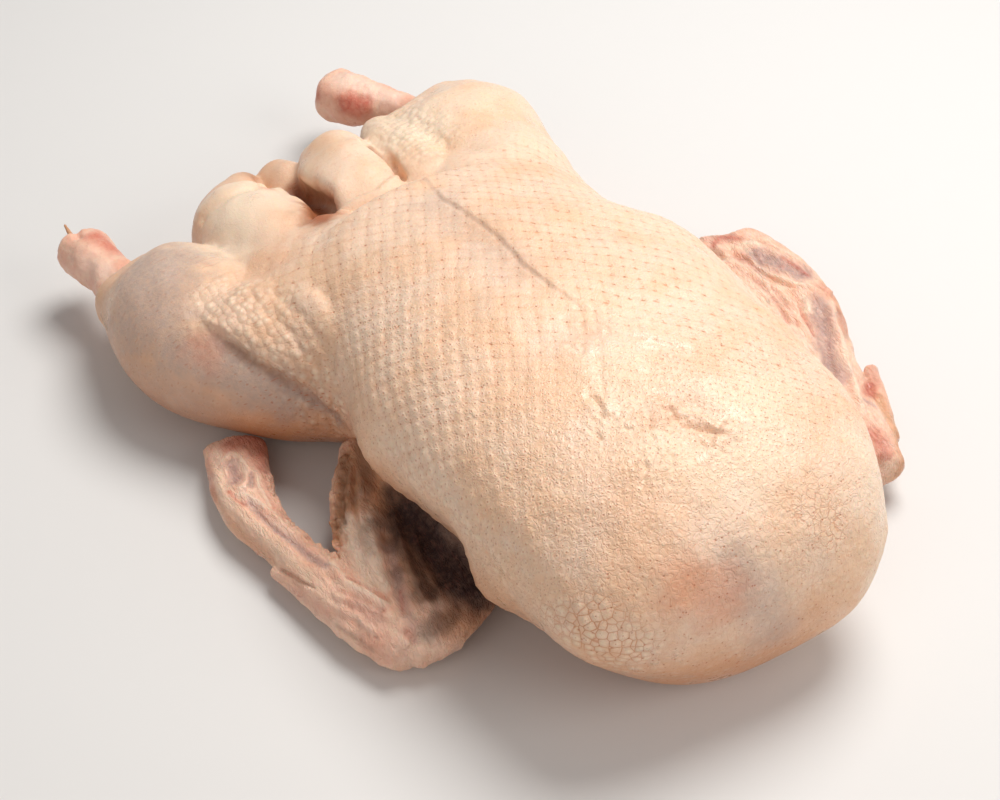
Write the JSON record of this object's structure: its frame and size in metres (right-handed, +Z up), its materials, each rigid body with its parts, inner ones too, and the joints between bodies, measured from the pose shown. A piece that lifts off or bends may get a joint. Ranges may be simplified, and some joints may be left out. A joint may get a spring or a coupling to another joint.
{
  "type": "whole raw goose",
  "caption": "Whole raw goose, plucked and dressed, lying on its back with the breast up, wings folded flat beside the body and legs trimmed at the hock.",
  "frame": {"origin": "on the flat resting spot under the back, on the midline of the breast", "axes": "+Z up through the breast, -Y towards the neck end, +Y towards the tail and the legs, +X towards the bird's wing at the far side of the picture"},
  "size_m": [0.3447, 0.4629, 0.126],
  "materials": {
    "goose": "raw skin, pale cream to peach, slightly moist"
  },
  "bodies": {
    "root": {"goose": "goose"}
  },
  "joints": []
}
